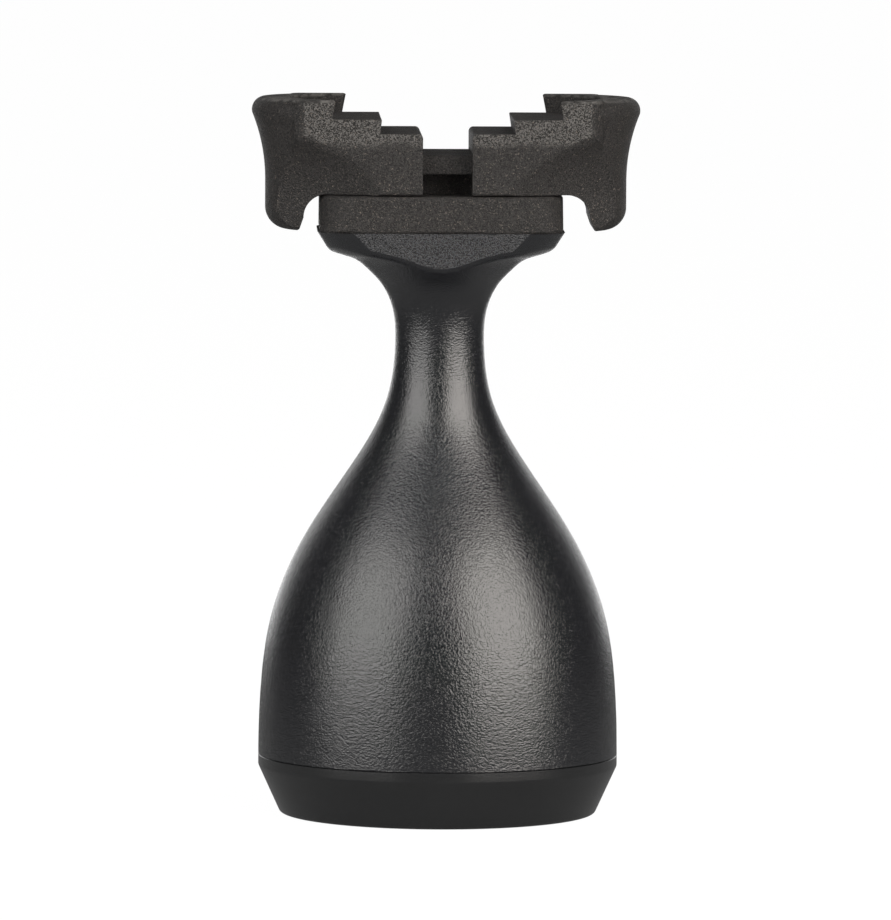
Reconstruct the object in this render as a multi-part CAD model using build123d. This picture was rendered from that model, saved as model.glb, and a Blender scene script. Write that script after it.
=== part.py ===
from build123d import *
import math
import os

# Miniature painting handle. Millimetres, +Z up, the photograph's front is -Y.
# The origin is the middle of the base, on the table.

# ---- Grip: a bulb that narrows to a neck and opens again into a flange ----
bulb_radius = 30.3
neck_radius = 7.5
neck_z = 79.7
seam_z = 10.0
grip_wall = 2.5
flange_top_z = 98.6
flange_length = 41.5
flange_depth = 28.4
flange_corner = 6.0
flange_foot_corner = 10.0
flange_end_lean = 31.0
flange_side_lean = 15.0
flange_drop = 11.0
flange_edge_round = 1.6

# How far the bulb has closed towards the neck, at shares of the height from seam to neck.
bulb_shape = [(0.0, 1.0), (0.14, 0.988), (0.34, 0.903), (0.517, 0.682), (0.69, 0.34), (0.865, 0.057)]
# The flare over the neck: how far it has opened towards the flange's corners, at shares of the
# height from neck to flange. It runs past them, and the flange's sides cut it off.
flare_shape = [
    (0.255, 0.02), (0.434, 0.094), (0.542, 0.179), (0.641, 0.299), (0.72, 0.413), (0.79, 0.65), (0.95, 1.2)
]

# ---- Base cap ----
base_foot_radius = 26.6
cap_band = 1.6
cap_side_swell = 0.1
cap_foot_round = 0.8
cap_wall = 2.2
cap_floor = 2.4
spigot_height = 2.5
spigot_wall = 1.8
spigot_clearance = 0.15
cap_ring_radius = 17.0
cap_ring_width = 6.0
cap_ring_depth = 0.6
cap_screw_count = 3
cap_screw_inset = 6.4
cap_screw_radius = 1.5
cap_screw_length = 14.0
cap_screw_head_radius = 2.9
cap_screw_head_height = 2.0
cap_tower_wall = 1.4
cap_tower_seat = 4.5
cap_boss_radius = 3.6
cap_boss_height = 13.0
boss_gap = 0.1
hole_clearance = 0.2

# ---- Head block ----
block_length = 40.8
block_depth = 28.0
block_foot_corner = 4.0
block_top_corner = 7.5
block_height = 6.2
block_top_round = 0.6
block_foot_edge = 0.4
peg_radius = 2.0
peg_length = 2.0
peg_spacing = 28.0
peg_clearance = 0.1

# ---- Rail: it stands a little to the right of the block's middle, and the jaws with it ----
rail_shift = 0.9
rail_length = 40.2
rail_head_depth = 21.0
rail_head_height = 3.2
rail_web_depth = 13.0
rail_web_height = 3.6
rail_foot_length = 36.0
rail_foot_height = 1.0
rail_edge = 0.4
foot_clearance = 0.1
channel_width = 4.8
channel_start = 5.3
channel_roof = 2.0

# ---- Tie bolt through the neck ----
bolt_radius = 2.5
bolt_length = 40.0
bolt_head_radius = 4.75
bolt_head_height = 3.2
bolt_socket_flats = 3.0
bolt_socket_depth = 1.8
washer_radius = 5.0
washer_height = 1.0
nut_flats = 8.0
nut_height = 4.0
nut_clearance = 0.1
bolt_end_room = 0.6
nut_stand_out = 0.7

# ---- Jaws, at rest ----
jaw_travel = 9.0
jaw_gap = 8.3
jaw_lift = 0.15
jaw_depth = 28.0
low_step_height = 10.3
middle_step_height = 2.4
top_step_height = 3.2
riser_undercut = 8.5
seat_undercut = 4.5
middle_riser_x = 11.0
seat_radius = 15.8
seat_outermost_x = 26.3
seat_offset_y = -0.55
low_edge_round = 0.8
middle_edge_round = 0.2
rail_clearance = 0.2

# The flat cheeks end in an upright edge.
cheek_end_x = 26.0
cheek_edge_round = 2.5
cheek_top_round = 0.3
cheek_foot_round = 0.5

# A finger scoop in each flank cuts the cheek along a diagonal. It is upright at the tab and rolls
# outwards above it, and in plan it is turned towards the wing.
scoop_start_x = 10.5
scoop_turn = 21.4
scoop_lift = -1.65
scoop_radius = 14.7

# The finger wing is turned about an upright axis.
wing_axis_x = 17.0
wing_root_overlap = 3.0
wing_waist_x = 30.4
wing_lip_x = 32.6
wing_lip_round = 2.7
wing_waist_height = 2.0
tab_bottom_z = 98.65
tab_inner_x = 24.0
tab_heel_x = 24.8
tab_toe_round = 3.8
tab_heel_round = 0.8
tab_hollow_radius = 4.0

# ---- Jaw stops and springs ----
stop_pin_radius = 0.8
stop_pin_x = 8.0
stop_pin_y = 8.5
stop_pin_reach = 1.0
stop_pin_recess = 0.3
stop_groove_depth = 1.3
stop_clearance = 0.1
spring_wire_radius = 0.2
spring_coil_radius = 1.35
spring_turns = 9
spring_bend = 0.7
spring_hook_run = 1.0
anchor_pin_radius = 1.0
anchor_pin_x = 7.3
anchor_pin_seat = 1.2
spring_screw_x = 21.8
spring_screw_radius = 1.0
spring_screw_head_radius = 1.9
spring_screw_head_height = 1.1
spring_screw_thread = 5.0
spring_screw_drop = 1.9
spring_pocket_room = 0.15
spring_height = 2.7

# ---- Heights and places worked out from the sizes above ----
block_top_z = flange_top_z + block_height
rail_neck_z = block_top_z + rail_web_height
rail_top_z = rail_neck_z + rail_head_height
rail_foot_z = block_top_z - rail_foot_height
jaw_under_z = block_top_z + jaw_lift
low_step_z = jaw_under_z + low_step_height
middle_step_z = low_step_z + middle_step_height
jaw_top_z = middle_step_z + top_step_height
spring_z = block_top_z + spring_height
nut_z = rail_foot_z + foot_clearance
bolt_seat_z = nut_z + nut_height + nut_stand_out - bolt_length - washer_height
ledge_z = bolt_seat_z + 2 * washer_height
tower_top_z = seam_z + spigot_height
boss_bottom_z = tower_top_z + boss_gap
rail_end_x = rail_length / 2
jaw_inner_x = jaw_gap / 2
scoop_z = jaw_under_z + scoop_lift
cap_screw_circle = bulb_radius - cap_screw_inset
flange_reach = flange_corner + math.hypot(
    flange_length / 2 - flange_corner, flange_depth / 2 - flange_corner
)
spigot_radius = bulb_radius - grip_wall - spigot_clearance
FAR = 80.0


def box_between(x0, x1, y0, y1, z0, z1):
    size = Box(x1 - x0, y1 - y0, z1 - z0)
    return Pos((x0 + x1) / 2, (y0 + y1) / 2, (z0 + z1) / 2) * size


def rod(radius, x, y, z0, z1):
    return Pos(x, y, (z0 + z1) / 2) * Cylinder(radius, z1 - z0)


def plate(length, depth, corner, z):
    return Plane.XY.offset(z) * RectangleRounded(length, depth, corner)


def front_profile(outline, depth):
    """A closed outline in the X-Z plane, made solid to the same depth on both sides."""
    face = make_face(outline)
    return extrude(face, amount=depth / 2, both=True)


def around(count, circle):
    """Places for what repeats about the upright axis."""
    return [Rot(0, 0, 90 + 360 * n / count) * Pos(circle, 0, 0) for n in range(count)]


# ---- Grip ----
def grip_outline(inset):
    """Points of the turned outline, from the seam up, drawn in by a wall."""
    height = neck_z - seam_z
    swell = bulb_radius - neck_radius
    points = [(neck_radius + swell * k - inset, seam_z + height * t) for t, k in bulb_shape]
    points.append((neck_radius - inset, neck_z))
    return points


def flare_outline():
    height = flange_top_z - neck_z
    swell = flange_reach - neck_radius
    return [(neck_radius + swell * k, neck_z + height * t) for t, k in flare_shape]


def grip_form():
    """The bulb, neck and trumpet-shaped flare as one turned solid."""
    curve = Spline(
        [Vector(r, 0, z) for r, z in grip_outline(0) + flare_outline()],
        tangents=[(0, 0, 1), (1, 0, 0.2)],
    )
    top_r = (curve @ 1).X
    edges = [
        curve,
        Line(curve @ 1, (top_r, 0, flange_top_z)),
        Line((top_r, 0, flange_top_z), (0, 0, flange_top_z)),
        Line((0, 0, flange_top_z), (0, 0, seam_z)),
        Line((0, 0, seam_z), curve @ 0),
    ]
    return revolve(make_face(edges), Axis.Z)


def flange_prism():
    """The leaning sides that cut the flare to the flange's rounded rectangle."""
    end_in = 2 * flange_drop * math.tan(math.radians(flange_end_lean))
    side_in = 2 * flange_drop * math.tan(math.radians(flange_side_lean))
    top = plate(flange_length, flange_depth, flange_corner, flange_top_z)
    foot = plate(
        flange_length - end_in, flange_depth - side_in, flange_foot_corner, flange_top_z - flange_drop
    )
    sides = loft([foot, top], ruled=True)
    below = rod(bulb_radius + 1, 0, 0, 0, flange_top_z - flange_drop)
    return sides + below


def grip_hollow():
    curve = Spline(
        [Vector(r, 0, z) for r, z in grip_outline(grip_wall)], tangents=[(0, 0, 1), (0, 0, 1)]
    )
    edges = [
        curve,
        Line(curve @ 1, (0, 0, neck_z)),
        Line((0, 0, neck_z), (0, 0, seam_z)),
        Line((0, 0, seam_z), curve @ 0),
    ]
    hollow = revolve(make_face(edges), Axis.Z)
    return hollow & box_between(-FAR, FAR, -FAR, FAR, 0, ledge_z)


def make_handle_body():
    outer = grip_form() & flange_prism()
    rim = [
        e
        for e in outer.edges()
        if e.geom_type != GeomType.LINE
        and e.bounding_box().min.Z > flange_top_z - flange_drop
        and e.bounding_box().max.Z < flange_top_z - flange_edge_round / 2
    ]
    outer = fillet(rim, flange_edge_round)
    body = outer - grip_hollow()
    for place in around(cap_screw_count, cap_screw_circle):
        boss = place * rod(cap_boss_radius, 0, 0, boss_bottom_z, boss_bottom_z + cap_boss_height)
        body += boss & outer
        pilot = rod(cap_screw_radius, 0, 0, boss_bottom_z - 1, boss_bottom_z + cap_boss_height - 1.5)
        body -= place * pilot
    body -= rod(bolt_radius + hole_clearance, 0, 0, ledge_z - 1, flange_top_z + 1)
    for side in (-1, 1):
        x = side * peg_spacing / 2
        body -= rod(peg_radius + peg_clearance, x, 0, flange_top_z - peg_length - 0.2, flange_top_z + 1)
    return body


# ---- Base cap ----
def make_base_cap():
    band_z = seam_z - cap_band
    outline = [
        Line((0, 0, 0), (base_foot_radius, 0, 0)),
        ThreePointArc(
            (base_foot_radius, 0, 0),
            ((base_foot_radius + bulb_radius) / 2 + cap_side_swell, 0, band_z / 2),
            (bulb_radius, 0, band_z),
        ),
        Line((bulb_radius, 0, band_z), (bulb_radius, 0, seam_z)),
        Line((bulb_radius, 0, seam_z), (0, 0, seam_z)),
        Line((0, 0, seam_z), (0, 0, 0)),
    ]
    cap = revolve(make_face(outline), Axis.Z)
    foot = cap.edges().filter_by(GeomType.CIRCLE).group_by(Axis.Z)[0]
    cap = fillet(foot, cap_foot_round)
    spigot = rod(spigot_radius, 0, 0, band_z, tower_top_z)
    cap += spigot
    hollow = [
        Line((0, 0, cap_floor), (base_foot_radius - cap_wall, 0, cap_floor)),
        Line((base_foot_radius - cap_wall, 0, cap_floor), (spigot_radius - spigot_wall, 0, band_z)),
        Line((spigot_radius - spigot_wall, 0, band_z), (spigot_radius - spigot_wall, 0, tower_top_z)),
        Line((spigot_radius - spigot_wall, 0, tower_top_z), (0, 0, tower_top_z)),
        Line((0, 0, tower_top_z), (0, 0, cap_floor)),
    ]
    cap -= revolve(make_face(hollow), Axis.Z)
    well_radius = cap_screw_head_radius + hole_clearance
    for place in around(cap_screw_count, cap_screw_circle):
        cap += place * rod(well_radius + cap_tower_wall, 0, 0, cap_floor / 2, tower_top_z) & rod(
            spigot_radius, 0, 0, 0, tower_top_z
        )
        cap -= place * rod(well_radius, 0, 0, -1, cap_tower_seat)
        cap -= place * rod(cap_screw_radius + hole_clearance, 0, 0, 0, tower_top_z + 1)
    ring = rod(cap_ring_radius, 0, 0, -1, cap_ring_depth)
    ring -= rod(cap_ring_radius - cap_ring_width, 0, 0, -1, cap_ring_depth)
    return cap - ring


def cross_slot(radius, z, depth):
    """A cross recess for a screwdriver, opening downwards at z."""
    blade = radius * 0.3
    bar = box_between(-radius * 0.6, radius * 0.6, -blade / 2, blade / 2, z - 1, z + depth)
    return bar + Rot(0, 0, 90) * bar


def make_base_cap_screws():
    screws = []
    for place in around(cap_screw_count, cap_screw_circle):
        head_z = cap_tower_seat - cap_screw_head_height
        screw = rod(cap_screw_head_radius, 0, 0, head_z, cap_tower_seat)
        screw = fillet(screw.edges().filter_by(GeomType.CIRCLE).group_by(Axis.Z)[0], 0.8)
        screw += rod(cap_screw_radius, 0, 0, cap_tower_seat, cap_tower_seat + cap_screw_length)
        screw = chamfer(screw.edges().filter_by(GeomType.CIRCLE).group_by(Axis.Z)[-1], 0.6)
        screw -= cross_slot(cap_screw_head_radius, head_z, cap_screw_head_height * 0.6)
        screws.append(place * screw)
    return Compound(screws)


# ---- Head block and rail ----
def make_head_block():
    foot = plate(block_length, block_depth, block_foot_corner, flange_top_z)
    top = plate(block_length, block_depth, block_top_corner, block_top_z)
    block = loft([foot, top], ruled=True)
    block = chamfer(block.edges().group_by(Axis.Z)[0], block_foot_edge)
    block = fillet(block.edges().group_by(Axis.Z)[-1], block_top_round)
    half_length = rail_foot_length / 2 + foot_clearance
    half_depth = rail_web_depth / 2 + foot_clearance
    block -= box_between(
        rail_shift - half_length, rail_shift + half_length, -half_depth, half_depth,
        rail_foot_z, block_top_z + 1,
    )
    block -= rod(bolt_radius + hole_clearance, 0, 0, flange_top_z - 1, block_top_z)
    for side in (-1, 1):
        x = side * peg_spacing / 2
        block += rod(peg_radius, x, 0, flange_top_z - peg_length, flange_top_z + 1)
    return block


def stop_groove(side_x, side_y):
    """A closed groove under the rail's head, as long as the jaw's travel."""
    radius = stop_pin_radius + stop_clearance
    start_x = side_x * stop_pin_x
    end_x = side_x * (stop_pin_x + jaw_travel)
    y = side_y * stop_pin_y
    z0 = rail_neck_z - 1
    z1 = rail_neck_z + stop_groove_depth
    low_x, high_x = sorted((start_x, end_x))
    middle = box_between(low_x, high_x, y - radius, y + radius, z0, z1)
    return middle + rod(radius, start_x, y, z0, z1) + rod(radius, end_x, y, z0, z1)


def make_jaw_rail():
    half = rail_length / 2
    head = box_between(
        -half, half, -rail_head_depth / 2, rail_head_depth / 2, rail_neck_z, rail_top_z
    )
    head = chamfer(head.edges().filter_by(Axis.X).group_by(Axis.Z)[-1], rail_edge)
    web = box_between(-half, half, -rail_web_depth / 2, rail_web_depth / 2, block_top_z, rail_neck_z)
    foot_half = rail_foot_length / 2
    foot = box_between(
        -foot_half, foot_half, -rail_web_depth / 2, rail_web_depth / 2, rail_foot_z, block_top_z
    )
    rail = head + web + foot
    for side_x in (-1, 1):
        low_x, high_x = sorted((side_x * channel_start, side_x * (half + 1)))
        rail -= box_between(
            low_x, high_x, -channel_width / 2, channel_width / 2,
            rail_foot_z - 1, rail_top_z - channel_roof,
        )
        anchor_x = side_x * anchor_pin_x
        rail -= rod(
            anchor_pin_radius, anchor_x, 0, rail_foot_z, rail_top_z - channel_roof + anchor_pin_seat
        )
        for side_y in (-1, 1):
            rail -= stop_groove(side_x, side_y)
    rail = Pos(rail_shift, 0, 0) * rail
    nut_room = nut_flats / 2 + nut_clearance
    pocket = Plane.XY.offset(rail_foot_z - 1) * RegularPolygon(nut_room, 6, major_radius=False)
    rail -= extrude(pocket, nut_z + nut_height + nut_clearance - rail_foot_z + 1)
    bolt_end_z = bolt_seat_z + washer_height + bolt_length
    return rail - rod(bolt_radius + hole_clearance, 0, 0, rail_foot_z, bolt_end_z + bolt_end_room)


def make_spring_anchor_pins():
    top_z = rail_top_z - channel_roof + anchor_pin_seat
    return Compound(
        [rod(anchor_pin_radius, side * anchor_pin_x, 0, rail_foot_z, top_z) for side in (-1, 1)]
    )


# ---- Tie bolt ----
def make_tie_bolt():
    seat = bolt_seat_z + washer_height
    head = rod(bolt_head_radius, 0, 0, seat - bolt_head_height, seat)
    head = fillet(head.edges().filter_by(GeomType.CIRCLE).group_by(Axis.Z)[0], 1.2)
    bolt = head + rod(bolt_radius, 0, 0, seat, seat + bolt_length)
    bolt = chamfer(bolt.edges().filter_by(GeomType.CIRCLE).group_by(Axis.Z)[-1], 0.6)
    socket = Plane.XY.offset(seat - bolt_head_height - 1) * RegularPolygon(
        bolt_socket_flats / 2, 6, major_radius=False
    )
    return bolt - extrude(socket, bolt_socket_depth + 1)


def make_tie_bolt_washer():
    seat = bolt_seat_z + washer_height
    return rod(washer_radius, 0, 0, seat, ledge_z) - rod(
        bolt_radius + hole_clearance, 0, 0, seat - 1, ledge_z + 1
    )


def make_tie_nut():
    outline = Plane.XY.offset(nut_z) * RegularPolygon(nut_flats / 2, 6, major_radius=False)
    return extrude(outline, nut_height) - rod(bolt_radius, 0, 0, nut_z - 1, nut_z + nut_height + 1)


# ---- Jaws: the right one is drawn, and the left one is its mirror ----
def jaw_bar(x0, x1, z0):
    """A bar along X, as deep as the jaw, with its long upper edges rounded."""
    bar = box_between(x0, x1, -jaw_depth / 2, jaw_depth / 2, z0, jaw_top_z)
    return fillet(bar.edges().filter_by(Axis.X).group_by(Axis.Z)[-1], cheek_top_round)


def flank_scoops():
    """What the finger scoops take from the front and back flanks."""
    turn = math.radians(scoop_turn)
    outwards = (math.sin(turn), -math.cos(turn), 0)
    along = (-math.cos(turn), -math.sin(turn), 0)
    plane = Plane(origin=(scoop_start_x, -jaw_depth / 2, 0), x_dir=outwards, z_dir=along)
    roll_z = scoop_z + scoop_radius
    outline = [
        Line((0, 0), (0, scoop_z)),
        RadiusArc((0, scoop_z), (scoop_radius, roll_z), scoop_radius),
        Line((scoop_radius, roll_z), (FAR, roll_z)),
        Line((FAR, roll_z), (FAR, 0)),
        Line((FAR, 0), (0, 0)),
    ]
    front = extrude(plane * make_face(outline), amount=FAR, both=True)
    return front + mirror(front, about=Plane.XZ)


def cheek_block(scoops):
    """The flat-sided inner part. Each cheek ends in an upright edge and the scoop's diagonal."""
    half = jaw_depth / 2
    block = box_between(jaw_inner_x, cheek_end_x, -half, half, jaw_under_z, jaw_top_z + 1)
    block -= scoops
    outer_edges = [
        e
        for e in block.edges()
        if abs(e.center().Y) > half - 0.01
        and e.bounding_box().size.Z > cheek_edge_round
        and e.bounding_box().max.X > jaw_inner_x + 1
    ]
    block = fillet(outer_edges, cheek_edge_round)
    bar = jaw_bar(jaw_inner_x, cheek_end_x, jaw_under_z)
    foot = bar.edges().filter_by(Axis.X).group_by(Axis.Z)[0]
    return block & fillet(foot, cheek_foot_round)


def wing_form():
    """The finger wing: a lip at the top, a hollowed waist and a tab that hangs down."""
    waist_z = jaw_under_z + wing_waist_height
    toe_x = wing_waist_x - tab_toe_round
    toe_z = tab_bottom_z + tab_toe_round
    lip_z = jaw_top_z - wing_lip_round
    half = tab_toe_round * math.sqrt(0.5)
    outline = [
        Line((wing_axis_x, 0, tab_bottom_z), (toe_x, 0, tab_bottom_z)),
        ThreePointArc(
            (toe_x, 0, tab_bottom_z), (toe_x + half, 0, toe_z - half), (wing_waist_x, 0, toe_z)
        ),
        Line((wing_waist_x, 0, toe_z), (wing_waist_x, 0, waist_z)),
        TangentArc((wing_waist_x, 0, waist_z), (wing_lip_x, 0, lip_z), tangent=(0, 0, 1)),
        TangentArc(
            (wing_lip_x, 0, lip_z),
            (wing_lip_x - wing_lip_round, 0, jaw_top_z),
            tangent=(0.25, 0, 1),
        ),
        Line((wing_lip_x - wing_lip_round, 0, jaw_top_z), (wing_axis_x, 0, jaw_top_z)),
        Line((wing_axis_x, 0, jaw_top_z), (wing_axis_x, 0, tab_bottom_z)),
    ]
    axis = Axis((wing_axis_x, 0, 0), (0, 0, 1))
    wing = revolve(make_face(outline), axis)
    root = box_between(
        tab_inner_x - tab_hollow_radius, cheek_end_x, -FAR, FAR, 0, jaw_under_z + wing_waist_height
    )
    return wing & (jaw_bar(cheek_end_x - wing_root_overlap, FAR, 0) + root)


def under_cut():
    """What is taken away below the jaw, up to the tab's hollowed inner side."""
    hollow_x = tab_inner_x - tab_hollow_radius
    hollow_z = jaw_under_z - tab_hollow_radius
    half = tab_hollow_radius * math.sqrt(0.5)
    inner_side = FilletPolyline(
        (tab_inner_x, 0, hollow_z),
        (tab_heel_x, 0, tab_bottom_z),
        (wing_axis_x + FAR, 0, tab_bottom_z),
        radius=tab_heel_round,
    )
    outline = [
        Line((0, 0, jaw_under_z), (hollow_x, 0, jaw_under_z)),
        ThreePointArc(
            (hollow_x, 0, jaw_under_z),
            (hollow_x + half, 0, hollow_z + half),
            (tab_inner_x, 0, hollow_z),
        ),
        *inner_side.edges(),
        Line((wing_axis_x + FAR, 0, tab_bottom_z), (wing_axis_x + FAR, 0, 0)),
        Line((wing_axis_x + FAR, 0, 0), (0, 0, 0)),
        Line((0, 0, 0), (0, 0, jaw_under_z)),
    ]
    return front_profile(outline, FAR)


def step_cuts():
    """The low step's straight riser and the top step's round seat, both undercut."""
    lean = math.tan(math.radians(riser_undercut))
    above = jaw_top_z + 1
    low = Polyline(
        (0, 0, low_step_z),
        (middle_riser_x + lean * middle_step_height, 0, low_step_z),
        (middle_riser_x - lean * (above - middle_step_z), 0, above),
        (0, 0, above),
        close=True,
    )
    seat_x = seat_outermost_x - seat_radius
    seat_lean = math.tan(math.radians(seat_undercut))
    foot_radius = seat_radius + seat_lean * top_step_height
    rim_radius = seat_radius - seat_lean
    cone = Cone(foot_radius, rim_radius, above - middle_step_z)
    seat = Pos(seat_x, seat_offset_y, (above + middle_step_z) / 2) * cone
    inner = box_between(0, seat_x, -FAR, FAR, middle_step_z, above)
    return front_profile(low.edges(), FAR) + seat + inner


def step_edge(jaw, x, z):
    """The upper edge of a step, which runs along Y at this place."""
    edges = jaw.edges().filter_by(Axis.Y)
    return [e for e in edges if abs(e.center().X - x) < 0.05 and abs(e.center().Z - z) < 0.05]


def rail_slot():
    head_half = rail_head_depth / 2 + rail_clearance
    web_half = rail_web_depth / 2 + rail_clearance
    head = box_between(
        0, rail_end_x, -head_half, head_half,
        rail_neck_z - rail_clearance, rail_top_z + rail_clearance,
    )
    web = box_between(0, rail_end_x, -web_half, web_half, jaw_under_z - 1, rail_neck_z)
    return head + web


def spring_pocket():
    half = channel_width / 2
    end_x = spring_screw_x + spring_screw_head_radius + spring_pocket_room
    roof_z = spring_z + spring_bend + spring_wire_radius + spring_pocket_room
    pocket = box_between(rail_end_x - 1, end_x, -half, half, tab_bottom_z - 1, roof_z)
    thread = rod(spring_screw_radius, spring_screw_x, 0, roof_z - 1, roof_z + spring_screw_thread)
    return pocket + thread


def make_right_jaw():
    scoops = flank_scoops()
    jaw = cheek_block(scoops) + (wing_form() - scoops)
    jaw -= under_cut()
    jaw -= step_cuts()
    jaw = fillet(step_edge(jaw, jaw_inner_x, low_step_z), low_edge_round)
    jaw = fillet(step_edge(jaw, middle_riser_x, middle_step_z), middle_edge_round)
    jaw -= rail_slot()
    jaw -= spring_pocket()
    for side in (-1, 1):
        jaw -= rod(stop_pin_radius, stop_pin_x, side * stop_pin_y, jaw_under_z - 1, rail_neck_z)
    return jaw


def make_right_stop_pins():
    z0 = jaw_under_z + stop_pin_recess
    z1 = rail_neck_z + stop_pin_reach
    return Compound(
        [rod(stop_pin_radius, stop_pin_x, side * stop_pin_y, z0, z1) for side in (-1, 1)]
    )


def make_right_spring_screw():
    roof_z = spring_z + spring_bend + spring_wire_radius + spring_pocket_room
    head_z = jaw_under_z
    head = rod(
        spring_screw_head_radius, spring_screw_x, 0, head_z, head_z + spring_screw_head_height
    )
    head = fillet(head.edges().filter_by(GeomType.CIRCLE).group_by(Axis.Z)[0], 0.4)
    shank = rod(spring_screw_radius, spring_screw_x, 0, head_z, roof_z + spring_screw_thread)
    screw = head + shank
    slot = cross_slot(spring_screw_head_radius, head_z, spring_screw_head_height * 0.6)
    return screw - Pos(spring_screw_x, 0, 0) * slot


# ---- Springs: one wire each, a hook round each pin and turns between ----
def biarc(p0, t0, p1, t1):
    """Two arcs that leave p0 along t0 and reach p1 along t1."""
    chord = p1 - p0
    both = t0 + t1
    a = 2 * (1 - t0.dot(t1))
    b = chord.dot(both)
    reach = (math.sqrt(b * b + a * chord.dot(chord)) - b) / a
    joint = (p0 + t0 * reach + p1 - t1 * reach) * 0.5
    first = TangentArc(p0, joint, tangent=t0)
    return [first, TangentArc(joint, p1, tangent=first % 1)]


def spring_path(start_x, end_x):
    """The wire's middle line, drawn along X between the middles of two upright pins."""
    radius = spring_coil_radius
    bend = spring_bend
    run = spring_hook_run
    first_x = start_x + run + bend
    last_x = end_x - run - bend
    rise = (last_x - first_x) / spring_turns
    length = math.hypot(2 * math.pi * radius, rise)

    def on_coil(turn):
        angle = 2 * math.pi * turn
        place = Vector(first_x + rise * turn, radius * math.cos(angle), spring_z + radius * math.sin(angle))
        way = Vector(rise, -2 * math.pi * radius * math.sin(angle), 2 * math.pi * radius * math.cos(angle))
        return place, way / length

    low_z = spring_z - bend
    high_z = spring_z + bend
    along = Vector(1, 0, 0)
    edges = [
        Line((start_x + run * 0.7, -radius, low_z), (start_x, -radius, low_z)),
        ThreePointArc((start_x, -radius, low_z), (start_x - radius, 0, low_z), (start_x, radius, low_z)),
        Line((start_x, radius, low_z), (start_x + run, radius, low_z)),
    ]
    place, way = on_coil(0)
    edges += biarc(Vector(start_x + run, radius, low_z), along, place, way)
    steps = spring_turns * 2
    for step in range(steps):
        here, here_way = on_coil(step / 2)
        there, there_way = on_coil((step + 1) / 2)
        edges += biarc(here, here_way, there, there_way)
    place, way = on_coil(spring_turns)
    edges += biarc(place, way, Vector(end_x - run, radius, high_z), along)
    edges += [
        Line((end_x - run, radius, high_z), (end_x, radius, high_z)),
        ThreePointArc((end_x, radius, high_z), (end_x + radius, 0, high_z), (end_x, -radius, high_z)),
        Line((end_x, -radius, high_z), (end_x - run * 0.7, -radius, high_z)),
    ]
    gap = rise - 2 * spring_wire_radius
    print(f"spring: {spring_turns} turns, least gap between turns {gap:.2f} mm")
    return Wire(edges)


def make_right_spring():
    slack = spring_coil_radius - spring_wire_radius - anchor_pin_radius
    path = spring_path(anchor_pin_x + slack, spring_screw_x - slack)
    section = Plane(path @ 0, z_dir=path % 0) * Circle(spring_wire_radius)
    return sweep(section, path=path)


right_side = {
    "jaw": make_right_jaw(),
    "stop_pins": make_right_stop_pins(),
    "spring_screw": make_right_spring_screw(),
    "spring": make_right_spring(),
}

pieces = {
    "handle_body": make_handle_body(),
    "base_cap": make_base_cap(),
    "base_cap_screws": make_base_cap_screws(),
    "head_block": make_head_block(),
    "jaw_rail": make_jaw_rail(),
    "tie_bolt": make_tie_bolt(),
    "tie_bolt_washer": make_tie_bolt_washer(),
    "tie_nut": make_tie_nut(),
    "spring_anchor_pins": Pos(rail_shift, 0, 0) * make_spring_anchor_pins(),
}
for name, piece in right_side.items():
    pieces[f"right_{name}"] = Pos(rail_shift, 0, 0) * piece
    pieces[f"left_{name}"] = Pos(rail_shift, 0, 0) * mirror(piece, about=Plane.YZ)

os.makedirs("parts", exist_ok=True)
for name, piece in pieces.items():
    export_step(piece, f"parts/{name}.step")
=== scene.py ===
import bpy
import math
from mathutils import Matrix, Vector


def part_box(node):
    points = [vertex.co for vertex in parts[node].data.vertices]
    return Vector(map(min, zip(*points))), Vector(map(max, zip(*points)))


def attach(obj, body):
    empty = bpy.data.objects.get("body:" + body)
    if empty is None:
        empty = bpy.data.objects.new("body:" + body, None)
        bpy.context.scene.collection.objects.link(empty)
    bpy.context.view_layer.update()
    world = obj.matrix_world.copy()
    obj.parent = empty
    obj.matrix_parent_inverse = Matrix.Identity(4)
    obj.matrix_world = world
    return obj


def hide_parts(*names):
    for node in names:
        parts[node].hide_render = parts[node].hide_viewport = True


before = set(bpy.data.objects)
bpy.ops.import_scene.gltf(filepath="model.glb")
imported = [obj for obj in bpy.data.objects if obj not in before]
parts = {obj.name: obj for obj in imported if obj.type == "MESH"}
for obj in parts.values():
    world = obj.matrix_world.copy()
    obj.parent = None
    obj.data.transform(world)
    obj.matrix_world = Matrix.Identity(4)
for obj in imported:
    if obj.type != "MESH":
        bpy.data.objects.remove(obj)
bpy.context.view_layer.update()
MM = 0.001
SOFT = "SMOOTHSTEP"

# ---- Where the camera stands, worked out from the picture's frame ----
PICTURE_WIDTH = 891
PICTURE_HEIGHT = 920
PIXELS_PER_MM = 5.93
CAMERA_DISTANCE_MM = 1690.0
CAMERA_ELEVATION = 4.7
CAMERA_AZIMUTH = 1.4
CAMERA_ROLL = 0.3
LOOK_HEIGHT_MM = 59.6
AXIS_PIXEL_X = 439.0
SENSOR_MM = 36.0


# ---- Nodes ----
def linear(hex_colour):
    """An sRGB hex colour as linear red, green, blue and alpha."""
    shares = [int(hex_colour[i:i + 2], 16) / 255 for i in (1, 3, 5)]
    return [s / 12.92 if s <= 0.04045 else ((s + 0.055) / 1.055) ** 2.4 for s in shares] + [1.0]


def feed(tree, node, links):
    """Fills a node's inputs, each with a value, a socket or the first output in use of another node."""
    for name, value in links.items():
        if isinstance(value, bpy.types.Node):
            value = next(output for output in value.outputs if output.enabled)
        if isinstance(value, bpy.types.NodeSocket):
            tree.links.new(value, node.inputs[name])
        else:
            node.inputs[name].default_value = value


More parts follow.
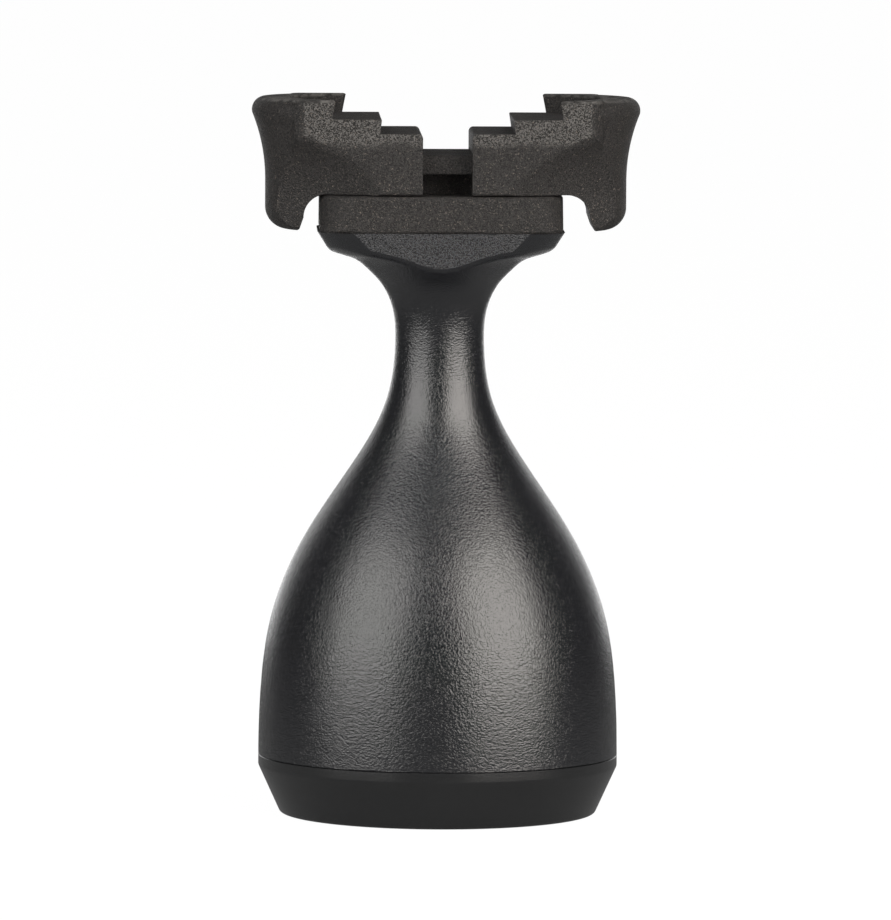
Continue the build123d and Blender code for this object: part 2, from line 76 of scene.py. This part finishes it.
def add(tree, kind, links=None, **settings):
    """Adds a node with its own settings and feeds its inputs."""
    made = tree.nodes.new(kind)
    for name, value in settings.items():
        setattr(made, name, value)
    feed(tree, made, links or {})
    return made


def new_material(name):
    """An empty material with its shader, its output and the object's own coordinates."""
    material = bpy.data.materials.new(name)
    material.use_nodes = True
    tree = material.node_tree
    tree.nodes.clear()
    shader = add(tree, "ShaderNodeBsdfPrincipled")
    add(tree, "ShaderNodeOutputMaterial", {"Surface": shader})
    place = add(tree, "ShaderNodeTexCoord").outputs["Object"]
    return material, tree, shader, place


def per_metre(size_mm):
    """A pattern's scale for features of this size."""
    return 1 / (size_mm * MM)


def flat_front(tree, start, end):
    """1 where a face looks straight along Y, to the front or the back, and 0 where it is turned away."""
    normal = add(tree, "ShaderNodeNewGeometry").outputs["Normal"]
    along = add(tree, "ShaderNodeSeparateXYZ", {"Vector": normal}).outputs["Y"]
    size = add(tree, "ShaderNodeMath", {0: along}, operation="ABSOLUTE")
    return add(
        tree, "ShaderNodeMapRange", {"Value": size, "From Min": start, "From Max": end}, interpolation_type=SOFT
    )


# ---- Grip and cap: black ABS. Sizes of grain are in millimetres ----
ABS_IOR = 1.58
ABS_SPECULAR = 0.8
NECK_GRAIN_FROM = 62 * MM
NECK_GRAIN_FULL = 76 * MM
FLANGE_GRAIN_FROM = 90.5 * MM
FLANGE_GRAIN_FULL = 91.5 * MM
FLANGE_FRONT = (0.954, 0.963)
BULB_WRINKLE = 0.36
NECK_WRINKLE = 0.3
WRINKLE_DEPTH = 0.095
FLANGE_PIT = 0.22
FLANGE_PIT_DEPTH = 0.07
CAP_MOTTLE = 9.0
CAP_GRAIN = 0.35
CAP_GRAIN_DEPTH = 0.04


def leather_grained_abs():
    """Black ABS moulded in an etched tool: a satin skin of small wrinkles, finer on the neck.

    The flange's flat front has a deeper and sharper grain, with pale grey specks painted into its pits as
    glints of light.
    """
    material, tree, shader, place = new_material("leather_grained_abs")
    height = add(tree, "ShaderNodeSeparateXYZ", {"Vector": place}).outputs["Z"]
    on_neck = add(
        tree, "ShaderNodeMapRange",
        {"Value": height, "From Min": NECK_GRAIN_FROM, "From Max": NECK_GRAIN_FULL},
        interpolation_type=SOFT,
    )
    coarse = add(
        tree, "ShaderNodeTexNoise",
        {"Vector": place, "Scale": per_metre(BULB_WRINKLE), "Detail": 1.0, "Distortion": 0.7},
    )
    fine = add(
        tree, "ShaderNodeTexNoise",
        {"Vector": place, "Scale": per_metre(NECK_WRINKLE), "Detail": 1.0, "Distortion": 0.5},
    )
    wrinkles = add(tree, "ShaderNodeMix", {"Factor": on_neck, "A": coarse, "B": fine}, data_type="FLOAT")
    on_flange = add(
        tree, "ShaderNodeMapRange",
        {"Value": height, "From Min": FLANGE_GRAIN_FROM, "From Max": FLANGE_GRAIN_FULL},
        interpolation_type=SOFT,
    )
    deep_share = add(
        tree, "ShaderNodeMath", {0: flat_front(tree, *FLANGE_FRONT), 1: on_flange}, operation="MULTIPLY"
    )
    pitted = add(
        tree, "ShaderNodeTexNoise", {"Vector": place, "Scale": per_metre(FLANGE_PIT), "Detail": 1.0}
    )
    pits = add(
        tree, "ShaderNodeMapRange",
        {"Value": pitted, "From Min": 0.38, "From Max": 0.62},
        interpolation_type=SOFT,
    )
    wrinkle_relief = add(tree, "ShaderNodeMapRange", {"Value": wrinkles, "To Max": WRINKLE_DEPTH})
    pit_relief = add(tree, "ShaderNodeMapRange", {"Value": pits, "To Max": FLANGE_PIT_DEPTH})
    relief = add(
        tree, "ShaderNodeMix",
        {"Factor": deep_share, "A": wrinkle_relief, "B": pit_relief}, data_type="FLOAT",
    )
    bump = add(tree, "ShaderNodeBump", {"Strength": 1.0, "Distance": MM, "Height": relief})
    roughness = add(tree, "ShaderNodeMapRange", {"Value": wrinkles, "To Min": 0.15, "To Max": 0.25})
    skin = add(
        tree, "ShaderNodeMix",
        {"Factor": wrinkles, "A": linear("#111214"), "B": linear("#1b1c1f")}, data_type="RGBA",
    )
    # painted highlight: the pits of the flange front are painted pale grey as glints of the lit face
    flange_painted_glints = add(
        tree, "ShaderNodeMix",
        {"Factor": pits, "A": linear("#111214"), "B": linear("#333437")}, data_type="RGBA",
    )
    colour = add(tree, "ShaderNodeMix", {"Factor": deep_share, "A": skin, "B": flange_painted_glints}, data_type="RGBA")
    feed(tree, shader, {
        "IOR": ABS_IOR, "Specular IOR Level": ABS_SPECULAR,
        "Base Color": colour, "Roughness": roughness, "Normal": bump,
    })
    return material


def smooth_matt_abs():
    """Black ABS from a blasted tool: smooth to the eye, with a dull sheen that varies a little."""
    material, tree, shader, place = new_material("smooth_matt_abs")
    mottle = add(
        tree, "ShaderNodeTexNoise", {"Vector": place, "Scale": per_metre(CAP_MOTTLE), "Detail": 3.0}
    )
    fine = add(tree, "ShaderNodeTexNoise", {"Vector": place, "Scale": per_metre(CAP_GRAIN)})
    roughness = add(tree, "ShaderNodeMapRange", {"Value": mottle, "To Min": 0.18, "To Max": 0.25})
    bump = add(tree, "ShaderNodeBump", {"Strength": 0.4, "Distance": CAP_GRAIN_DEPTH * MM, "Height": fine})
    colour = add(
        tree, "ShaderNodeMix",
        {"Factor": mottle, "A": linear("#0e0f10"), "B": linear("#151617")}, data_type="RGBA",
    )
    feed(tree, shader, {
        "IOR": ABS_IOR, "Specular IOR Level": ABS_SPECULAR,
        "Base Color": colour, "Roughness": roughness, "Normal": bump,
    })
    return material


# ---- Head and jaws: charcoal nylon. Sizes of grain are in millimetres ----
NYLON_IOR = 1.45
NYLON_SPECULAR = 0.4
NYLON_GRAIN = 0.24
NYLON_CLOUD = 7.0
NYLON_FLECK = 0.3
NYLON_GRAIN_DEPTH = 0.09
NYLON_EDGE_ROUND = 0.25
CHEEK_GRAIN = 0.21
CHEEK_FRONT = (0.95, 0.995)
CHEEK_BORDER = 113.3
CHEEK_BORDER_BELOW = 0.7
CHEEK_BORDER_ABOVE = 1.2
CHEEK_BORDER_WAVER = 1.5
JAW_RIM = 120.6
JAW_RIM_BLUR = 0.4
JAW_RIM_PATCH = 1.6


def coarse_and_lit_cheeks(tree, place, cloud, speckle, colour):
    """Coarser erosion on a jaw's flat cheeks above a border that wavers, with the upper cheeks painted paler as
    lit.
    """
    height = add(tree, "ShaderNodeSeparateXYZ", {"Vector": place}).outputs["Z"]
    waver = add(
        tree, "ShaderNodeMapRange",
        {"Value": cloud, "To Min": -CHEEK_BORDER_WAVER * MM, "To Max": CHEEK_BORDER_WAVER * MM},
    )
    wavering = add(tree, "ShaderNodeMath", {0: height, 1: waver}, operation="ADD")
    low = (CHEEK_BORDER - CHEEK_BORDER_BELOW) * MM
    high = (CHEEK_BORDER + CHEEK_BORDER_ABOVE) * MM
    upper = add(
        tree, "ShaderNodeMapRange",
        {"Value": wavering, "From Min": low, "From Max": high}, interpolation_type=SOFT,
    )
    share = add(tree, "ShaderNodeMath", {0: upper, 1: flat_front(tree, *CHEEK_FRONT)}, operation="MULTIPLY")
    grain = add(
        tree, "ShaderNodeTexNoise",
        {"Vector": place, "Scale": per_metre(CHEEK_GRAIN), "Detail": 1.0, "Roughness": 0.6},
    )
    coarse = add(
        tree, "ShaderNodeMapRange",
        {"Value": grain, "From Min": 0.38, "From Max": 0.64}, interpolation_type=SOFT,
    )
    # painted light: pale speckle above the border stands in for the upper cheeks catching light
    painted_lit_speckle = add(
        tree, "ShaderNodeMix",
        {"Factor": coarse, "A": linear("#181716"), "B": linear("#5b5957")}, data_type="RGBA",
    )
    both = add(tree, "ShaderNodeMix", {"Factor": share, "A": speckle, "B": coarse}, data_type="FLOAT")
    return both, add(tree, "ShaderNodeMix", {"Factor": share, "A": colour, "B": painted_lit_speckle}, data_type="RGBA")


def painted_rim_highlight(tree, place, colour):
    """A jaw's top faces, painted pale in patches as a highlight where the tops catch light."""
    height = add(tree, "ShaderNodeSeparateXYZ", {"Vector": place}).outputs["Z"]
    top = add(
        tree, "ShaderNodeMapRange",
        {"Value": height, "From Min": (JAW_RIM - JAW_RIM_BLUR) * MM, "From Max": JAW_RIM * MM},
        interpolation_type=SOFT,
    )
    patches = add(
        tree, "ShaderNodeTexNoise", {"Vector": place, "Scale": per_metre(JAW_RIM_PATCH), "Detail": 3.0}
    )
    highlight_patches = add(
        tree, "ShaderNodeMapRange",
        {"Value": patches, "From Min": 0.35, "From Max": 0.65}, interpolation_type=SOFT,
    )
    # painted highlight: the top faces are painted pale where they catch light
    rim_highlight = add(
        tree, "ShaderNodeMix",
        {"Factor": highlight_patches, "A": linear("#262524"), "B": linear("#595755")}, data_type="RGBA",
    )
    return add(tree, "ShaderNodeMix", {"Factor": top, "A": colour, "B": rim_highlight}, data_type="RGBA")


def filled_nylon(name, on_jaws=False):
    """Charcoal glass-filled nylon from a spark-eroded tool: dry, nearly neutral and finely speckled.

    The grain is drawn about as coarse as it has to be to show.
    """
    material, tree, shader, place = new_material(name)
    grain = add(
        tree, "ShaderNodeTexNoise", {"Vector": place, "Scale": per_metre(NYLON_GRAIN), "Roughness": 0.6}
    )
    speckle = add(
        tree, "ShaderNodeMapRange",
        {"Value": grain, "From Min": 0.36, "From Max": 0.64}, interpolation_type=SOFT,
    )
    colour = add(
        tree, "ShaderNodeMix",
        {"Factor": speckle, "A": linear("#181717"), "B": linear("#343231")}, data_type="RGBA",
    )
    cloud = add(
        tree, "ShaderNodeTexNoise", {"Vector": place, "Scale": per_metre(NYLON_CLOUD), "Detail": 3.0}
    )
    if on_jaws:
        speckle, colour = coarse_and_lit_cheeks(tree, place, cloud, speckle, colour)
    specks = add(
        tree, "ShaderNodeTexNoise",
        {"Vector": place, "Scale": per_metre(NYLON_FLECK), "Detail": 3.0, "Roughness": 0.7},
    )
    flecks = add(
        tree, "ShaderNodeMapRange",
        {"Value": specks, "From Min": 0.61, "From Max": 0.68}, interpolation_type=SOFT,
    )
    colour = add(
        tree, "ShaderNodeMix",
        {"Factor": flecks, "A": colour, "B": linear("#6a625b")}, data_type="RGBA",
    )
    # painted highlight on the jaws' top faces
    if on_jaws:
        colour = painted_rim_highlight(tree, place, colour)
    edge = add(tree, "ShaderNodeBevel", {"Radius": NYLON_EDGE_ROUND * MM}, samples=4)
    bump = add(
        tree, "ShaderNodeBump",
        {"Strength": 1.0, "Distance": NYLON_GRAIN_DEPTH * MM, "Height": speckle, "Normal": edge},
    )
    roughness = add(tree, "ShaderNodeMapRange", {"Value": cloud, "To Min": 0.48, "To Max": 0.6})
    feed(tree, shader, {
        "IOR": NYLON_IOR, "Specular IOR Level": NYLON_SPECULAR,
        "Base Color": colour, "Roughness": roughness, "Normal": bump,
    })
    return material


# ---- Screws, pins and springs ----
STEEL_ROUGHNESS_SWING = 0.08


def steel(name, hex_colour, roughness, marks_mm):
    """Plated, ground or drawn steel, a little uneven in its shine from the marks of its making."""
    material, tree, shader, place = new_material(name)
    marks = add(tree, "ShaderNodeTexNoise", {"Vector": place, "Scale": per_metre(marks_mm), "Detail": 4.0})
    low = roughness - STEEL_ROUGHNESS_SWING
    high = roughness + STEEL_ROUGHNESS_SWING
    uneven = add(tree, "ShaderNodeMapRange", {"Value": marks, "To Min": low, "To Max": high})
    feed(tree, shader, {"Metallic": 1.0, "Base Color": linear(hex_colour), "Roughness": uneven})
    return material


# ---- Base cap, in millimetres: its foot stays whole round the screws' wells ----
CAP_FOOT_RADIUS = 26.6
CAP_BAND = 1.9
CAP_FOOT_ROUND = 0.8
CAP_SHOULDER_ROUND = 1.2
CAP_SEAM_BREAK = 0.22
CAP_WALL = 2.2
CAP_FLOOR = 2.4
CAP_SPIGOT_WALL = 1.8
CAP_SPIGOT_GAP = 2.35
CAP_RING_INNER = 11.0
CAP_RING_OUTER = 17.0
CAP_RING_DEPTH = 0.6
CAP_SCREWS = 3
CAP_SCREW_INSET = 6.4
CAP_WELL_RADIUS = 3.1
CAP_WELL_DEPTH = 4.5
CAP_TOWER_RADIUS = 4.3
CAP_TOWER_REACH = 3.4
CAP_TOWER_SINK = 0.2
CAP_HOLE_RADIUS = 1.7
CAP_LIP_HEIGHT = 1.6
CAP_LIP_REACH = 1.95
CAP_LIP_LAP = 0.1
CUT_PAST = 1.0
TURNED_SIDES = 192
ROD_SIDES = 64
ARC_STEPS = 6
SMOOTH_UNDER_DEGREES = 20


def round_corner(before, corner, after, radius):
    """The points of an arc of this radius that rounds a corner of an outline."""
    corner = Vector(corner)
    back = (Vector(before) - corner).normalized()
    on = (Vector(after) - corner).normalized()
    half = back.angle(on) / 2
    reach = radius / math.tan(half)
    middle = corner + (back + on).normalized() * radius / math.sin(half)
    start = corner + back * reach - middle
    turn = math.pi - 2 * half
    side = 1 if back.x * on.y - back.y * on.x < 0 else -1
    points = []
    for step in range(ARC_STEPS + 1):
        angle = side * turn * step / ARC_STEPS
        points.append(middle + Vector((
            start.x * math.cos(angle) - start.y * math.sin(angle),
            start.x * math.sin(angle) + start.y * math.cos(angle),
        )))
    return [tuple(point) for point in points]


def turned(name, outline):
    """A turned piece: a disc at the outline's first radius and height, extruded ring by ring."""
    bpy.ops.object.select_all(action="DESELECT")
    radius, height = outline[0]
    bpy.ops.mesh.primitive_circle_add(
        vertices=TURNED_SIDES, radius=radius * MM, fill_type="NGON", location=(0, 0, height * MM)
    )
    piece = bpy.context.object
    piece.name = name
    bpy.ops.object.mode_set(mode="EDIT")
    bpy.ops.mesh.select_all(action="SELECT")
    for next_radius, next_height in outline[1:]:
        bpy.ops.mesh.extrude_region_move()
        share = next_radius / radius
        bpy.ops.transform.resize(value=(share, share, 1))
        bpy.ops.transform.translate(value=(0, 0, (next_height - height) * MM))
        radius, height = next_radius, next_height
    bpy.ops.mesh.select_all(action="SELECT")
    bpy.ops.mesh.normals_make_consistent(inside=False)
    bpy.ops.object.mode_set(mode="OBJECT")
    bpy.ops.object.transform_apply(location=True)
    return piece


def combine(piece, tools, operation):
    """Adds the tools to a piece or cuts them from it, and removes them."""
    for tool in tools:
        join = piece.modifiers.new("join", "BOOLEAN")
        join.operation = operation
        join.solver = "EXACT"
        join.object = tool
        bpy.context.view_layer.objects.active = piece
        bpy.ops.object.modifier_apply(modifier=join.name)
        bpy.data.objects.remove(tool, do_unlink=True)


def rods(radius, low, high, reach=None):
    """One upright rod at each screw of the cap. With a reach, its outer side is flat there."""
    made = []
    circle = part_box("base_cap")[1][0] / MM - CAP_SCREW_INSET
    for number in range(CAP_SCREWS):
        turn = 2 * math.pi * number / CAP_SCREWS + math.pi / 2
        out = Vector((math.cos(turn), math.sin(turn), 0))
        bpy.ops.object.select_all(action="DESELECT")
        bpy.ops.mesh.primitive_cylinder_add(
            vertices=ROD_SIDES, radius=radius * MM, depth=(high - low) * MM,
            location=(out * circle + Vector((0, 0, (low + high) / 2))) * MM,
        )
        rod = bpy.context.object
        bpy.ops.object.transform_apply(location=True)
        if reach is not None:
            bpy.ops.object.mode_set(mode="EDIT")
            bpy.ops.mesh.select_all(action="SELECT")
            bpy.ops.mesh.bisect(
                plane_co=out * (circle + reach) * MM, plane_no=out, clear_outer=True, use_fill=True
            )
            bpy.ops.object.mode_set(mode="OBJECT")
        made.append(rod)
    return made


def base_cap():
    """The cap under the bulb: a turned cup with three towers, each with a screw's well and hole."""
    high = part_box("base_cap")[1]
    radius, top = high[0] / MM, high[2] / MM
    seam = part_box("handle_body")[0][2] / MM
    band = seam - CAP_BAND
    spigot = radius - CAP_SPIGOT_GAP
    foot, shoulder = (CAP_FOOT_RADIUS, 0), (radius, band)
    seam_break = (radius, seam - CAP_SEAM_BREAK)
    outline = [(CAP_RING_INNER, 0), (CAP_RING_INNER, CAP_RING_DEPTH)]
    outline += [(CAP_RING_OUTER, CAP_RING_DEPTH), (CAP_RING_OUTER, 0)]
    outline += round_corner((CAP_RING_OUTER, 0), foot, shoulder, CAP_FOOT_ROUND)
    outline += round_corner(foot, shoulder, seam_break, CAP_SHOULDER_ROUND)
    outline += [seam_break, (radius - CAP_SEAM_BREAK, seam)]
    outline += [(spigot, seam), (spigot, top), (spigot - CAP_SPIGOT_WALL, top)]
    outline += [(spigot - CAP_SPIGOT_WALL, band), (CAP_FOOT_RADIUS - CAP_WALL, CAP_FLOOR)]
    cap = turned("moulded_base_cap", outline)
    combine(cap, rods(CAP_TOWER_RADIUS, CAP_FLOOR - CAP_TOWER_SINK, top, CAP_TOWER_REACH), "UNION")
    combine(cap, rods(CAP_WELL_RADIUS, -CUT_PAST, CAP_LIP_HEIGHT + CAP_LIP_LAP, CAP_LIP_REACH), "DIFFERENCE")
    combine(cap, rods(CAP_WELL_RADIUS, CAP_LIP_HEIGHT, CAP_WELL_DEPTH), "DIFFERENCE")
    combine(cap, rods(CAP_HOLE_RADIUS, CAP_FLOOR, top + CUT_PAST), "DIFFERENCE")
    bpy.ops.object.select_all(action="DESELECT")
    cap.select_set(True)
    bpy.context.view_layer.objects.active = cap
    bpy.ops.object.shade_smooth_by_angle(angle=math.radians(SMOOTH_UNDER_DEGREES))
    cap.data.materials.clear()
    cap.data.materials.append(smooth_matt_abs())
    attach(cap, "handle")
    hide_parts("base_cap")


# ---- The other pieces keep their shapes and get a finish ----
def dress(material, *names):
    """Gives CAD nodes their finish."""
    for name in names:
        mesh = parts[name].data
        mesh.materials.clear()
        mesh.materials.append(material)


dress(leather_grained_abs(), "handle_body")
base_cap()
dress(filled_nylon("spark_eroded_nylon"), "head_block", "jaw_rail")
dress(filled_nylon("spark_eroded_jaw_nylon", on_jaws=True), "left_jaw", "right_jaw")
dress(
    steel("bright_zinc_plate", "#c4c7ca", roughness=0.3, marks_mm=1.2),
    "base_cap_screws", "tie_bolt", "tie_bolt_washer", "tie_nut", "left_spring_screw", "right_spring_screw",
)
dress(
    steel("ground_steel_pin", "#b9babc", roughness=0.25, marks_mm=0.3),
    "spring_anchor_pins", "left_stop_pins", "right_stop_pins",
)
dress(steel("drawn_spring_wire", "#a9aaad", roughness=0.35, marks_mm=0.4), "left_spring", "right_spring")


# ---- Studio. Ranges of a direction are shares of 1, and distances are in metres ----
ROOM_FILL = 0.25
ROOM_IN_GLOSS = 0.05
SCREEN_IN_GLOSS = 1.2
SCREEN_BEHIND = (0.75, 0.97)
SCREEN_ASIDE = (0.08, 0.3)
TABLE_SIZE = 12.0
TABLE_DROP = 0.02 * MM
TABLE_TO_THE_EYE = 1.03
TABLE_GLOW = 0.95
TABLE_NEAR_IN_GLOSS = 0.18
TABLE_AWAY_IN_GLOSS = 0.05
TABLE_NEAR_TO_AWAY = (0.1, 0.5)
TABLE_BACK_IN_GLOSS = 2.0
TABLE_BACK_WAY = (0.8, 1.0)
TABLE_BACK_DISTANCE = (0.3, 0.8)


def rays(tree):
    """Whether the eye looks, and whether gloss or glass does."""
    path = add(tree, "ShaderNodeLightPath").outputs
    gloss = add(
        tree, "ShaderNodeMath",
        {0: path["Is Glossy Ray"], 1: path["Is Transmission Ray"]}, operation="MAXIMUM",
    )
    return path["Is Camera Ray"], gloss


def room_for_gloss(tree):
    """What gloss and glass see above the table: a dim room with a pale screen to each side behind."""
    way = add(tree, "ShaderNodeTexCoord").outputs["Generated"]
    along = add(tree, "ShaderNodeSeparateXYZ", {"Vector": way}).outputs
    size = add(tree, "ShaderNodeMath", {0: along["X"]}, operation="ABSOLUTE")
    behind = add(
        tree, "ShaderNodeMapRange",
        {"Value": along["Y"], "From Min": SCREEN_BEHIND[0], "From Max": SCREEN_BEHIND[1]},
        interpolation_type=SOFT,
    )
    aside = add(
        tree, "ShaderNodeMapRange",
        {"Value": size, "From Min": SCREEN_ASIDE[0], "From Max": SCREEN_ASIDE[1]},
        interpolation_type=SOFT,
    )
    screen = add(tree, "ShaderNodeMath", {0: behind, 1: aside}, operation="MULTIPLY")
    return add(
        tree, "ShaderNodeMapRange", {"Value": screen, "To Min": ROOM_IN_GLOSS, "To Max": SCREEN_IN_GLOSS}
    )


def white_room():
    """The eye sees plain white. Gloss and glass see the dim room, and the rest is soft fill."""
    world = bpy.data.worlds.new("white_room")
    bpy.context.scene.world = world
    world.use_nodes = True
    tree = world.node_tree
    tree.nodes.clear()
    eye, gloss = rays(tree)
    fill = add(
        tree, "ShaderNodeMix",
        {"Factor": gloss, "A": ROOM_FILL, "B": room_for_gloss(tree)}, data_type="FLOAT",
    )
    strength = add(tree, "ShaderNodeMix", {"Factor": eye, "A": fill, "B": 1.0}, data_type="FLOAT")
    light = add(tree, "ShaderNodeBackground", {"Color": linear("#ffffff"), "Strength": strength})
    add(tree, "ShaderNodeOutputWorld", {"Surface": light})


def table_for_gloss(tree):
    """What gloss and glass see of the table: dim, and bright far behind, which lights the outline's edges."""
    place = add(tree, "ShaderNodeTexCoord").outputs["Object"]
    distance = add(tree, "ShaderNodeVectorMath", {0: place}, operation="LENGTH")
    dim = add(tree, "ShaderNodeMapRange", {
        "Value": distance, "From Min": TABLE_NEAR_TO_AWAY[0], "From Max": TABLE_NEAR_TO_AWAY[1],
        "To Min": TABLE_NEAR_IN_GLOSS, "To Max": TABLE_AWAY_IN_GLOSS,
    })
    way = add(tree, "ShaderNodeVectorMath", {0: place}, operation="NORMALIZE")
    behind = add(
        tree, "ShaderNodeMapRange",
        {
            "Value": add(tree, "ShaderNodeSeparateXYZ", {"Vector": way}).outputs["Y"],
            "From Min": TABLE_BACK_WAY[0], "From Max": TABLE_BACK_WAY[1],
        },
        interpolation_type=SOFT,
    )
    far = add(
        tree, "ShaderNodeMapRange",
        {"Value": distance, "From Min": TABLE_BACK_DISTANCE[0], "From Max": TABLE_BACK_DISTANCE[1]},
        interpolation_type=SOFT,
    )
    back = add(tree, "ShaderNodeMath", {0: behind, 1: far}, operation="MULTIPLY")
    return add(tree, "ShaderNodeMix", {"Factor": back, "A": dim, "B": TABLE_BACK_IN_GLOSS}, data_type="FLOAT")


def white_table():
    """A table that the eye sees nearly plain white, with a faint shadow under the base.

    From below it is clear, so that the underside can be seen.
    """
    bpy.ops.mesh.primitive_plane_add(size=TABLE_SIZE, location=(0, 0, -TABLE_DROP))
    floor = bpy.context.object
    floor.name = "studio_floor"
    material = bpy.data.materials.new("white_table")
    material.use_nodes = True
    tree = material.node_tree
    tree.nodes.clear()
    eye, gloss = rays(tree)
    strength = add(
        tree, "ShaderNodeMix",
        {"Factor": gloss, "A": TABLE_TO_THE_EYE, "B": table_for_gloss(tree)}, data_type="FLOAT",
    )
    seen = add(tree, "ShaderNodeMath", {0: eye, 1: gloss}, operation="MAXIMUM")
    share = add(tree, "ShaderNodeMath", {0: seen, 1: TABLE_GLOW}, operation="MULTIPLY")
    matt = add(tree, "ShaderNodeBsdfDiffuse", {"Color": linear("#f2f2f2")})
    glow = add(tree, "ShaderNodeEmission", {"Color": linear("#ffffff"), "Strength": strength})
    top = add(tree, "ShaderNodeMixShader", {0: share, 1: matt, 2: glow})
    from_below = add(tree, "ShaderNodeNewGeometry").outputs["Backfacing"]
    clear = add(tree, "ShaderNodeBsdfTransparent")
    add(tree, "ShaderNodeOutputMaterial", {
        "Surface": add(tree, "ShaderNodeMixShader", {0: from_below, 1: top, 2: clear}),
    })
    floor.data.materials.append(material)


def softbox(name, azimuth, elevation, distance, width, height, radiance, hex_colour="#ffffff"):
    """A rectangular lamp that faces the object. Azimuth 0 is the camera's side."""
    a, e = math.radians(azimuth), math.radians(elevation)
    way = Vector((math.sin(a) * math.cos(e), -math.cos(a) * math.cos(e), math.sin(e)))
    bpy.ops.object.light_add(type="AREA", location=Vector((0, 0, LOOK_HEIGHT_MM * MM)) + way * distance)
    lamp = bpy.context.object
    lamp.name = name
    lamp.data.name = name
    lamp.data.shape = "RECTANGLE"
    lamp.data.size = width
    lamp.data.size_y = height
    lamp.data.energy = radiance * math.pi * width * height
    lamp.data.color = linear(hex_colour)[:3]
    lamp.rotation_euler = way.to_track_quat("Z", "Y").to_euler()


def set_camera():
    """A camera with the picture's turn, tilt, roll and frame."""
    azimuth = math.radians(CAMERA_AZIMUTH)
    elevation = math.radians(CAMERA_ELEVATION)
    roll = math.radians(CAMERA_ROLL)
    forward = Vector((
        math.sin(azimuth) * math.cos(elevation),
        math.cos(azimuth) * math.cos(elevation),
        -math.sin(elevation),
    ))
    level = Vector((math.cos(azimuth), -math.sin(azimuth), 0))
    upright = level.cross(forward)
    right = level * math.cos(roll) + upright * math.sin(roll)
    up = upright * math.cos(roll) - level * math.sin(roll)
    aside = (PICTURE_WIDTH / 2 - AXIS_PIXEL_X) / PIXELS_PER_MM
    data = bpy.data.cameras.new("camera")
    data.sensor_width = SENSOR_MM
    data.lens = PIXELS_PER_MM * CAMERA_DISTANCE_MM * SENSOR_MM / PICTURE_HEIGHT
    camera = bpy.data.objects.new("camera", data)
    bpy.context.scene.collection.objects.link(camera)
    target = Vector((0, 0, LOOK_HEIGHT_MM))
    camera.location = (target - forward * CAMERA_DISTANCE_MM + right * aside) * MM
    camera.rotation_euler = Matrix((right, up, -forward)).transposed().to_euler()
    bpy.context.scene.camera = camera


SIDE_BOX = {"elevation": 23, "distance": 1.0, "width": 0.98, "height": 1.14}
TOP_BOX = {"elevation": 80, "distance": 1.0, "width": 0.6, "height": 0.6}

white_table()
white_room()
softbox("left_softbox", azimuth=-53, radiance=2.6, hex_colour="#fffdfa", **SIDE_BOX)
softbox("right_softbox", azimuth=45, radiance=4.0, hex_colour="#fffaf4", **SIDE_BOX)
softbox("top_softbox", azimuth=0, radiance=0.6, **TOP_BOX)
set_camera()
bpy.context.scene.view_settings.view_transform = "Standard"
